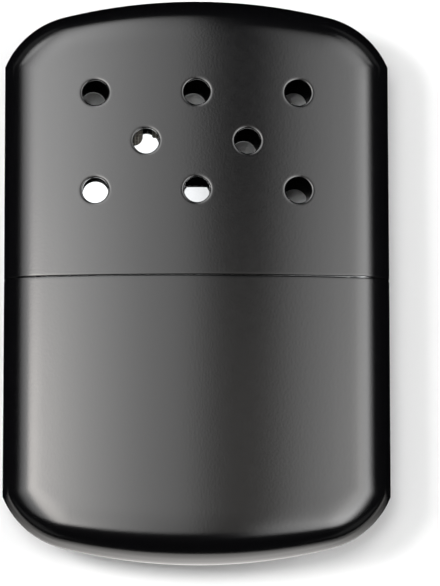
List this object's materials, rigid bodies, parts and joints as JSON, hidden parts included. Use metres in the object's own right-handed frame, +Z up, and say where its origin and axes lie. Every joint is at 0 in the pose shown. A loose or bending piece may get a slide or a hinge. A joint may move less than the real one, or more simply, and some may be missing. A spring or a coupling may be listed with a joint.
{
  "type": "hand warmer",
  "caption": "Flat pocket hand warmer: a vented lid slides over a plated neck on a cotton-filled fuel tank, with a push-on catalytic burner inside.",
  "frame": {"origin": "under the middle of the case, on the surface that its back lies on", "axes": "+X across the case, +Y along the case towards the vented lid, +Z up through the front face; the seam is at y = 0"},
  "size_m": [0.0668, 0.099, 0.0127],
  "materials": {
    "case_enamel": "smooth satin black enamel",
    "bright_plate": "bright plated sheet",
    "gauze": "dull woven wire",
    "glass_fibre": "matt fibre",
    "cotton": "matt packed fibre",
    "felt": "matt felt"
  },
  "bodies": {
    "tank": {"tank_shell": "case_enamel", "neck_sleeve": "bright_plate", "mouthpiece": "bright_plate", "cotton_wadding": "cotton", "felt_wick": "felt"},
    "lid": {"lid_shell": "case_enamel"},
    "burner": {"burner_housing": "bright_plate", "wire_screen": "gauze", "catalyst_pad": "glass_fibre", "pad_grate": "bright_plate"}
  },
  "joints": [
    {"name": "lid_slide", "type": "slide", "parent": "tank", "child": "lid", "axis": [0, 1, 0], "range_m": [0, 0.048]},
    {"name": "burner_slide", "type": "slide", "parent": "tank", "child": "burner", "axis": [0, 1, 0], "range_m": [0, 0.014]}
  ]
}
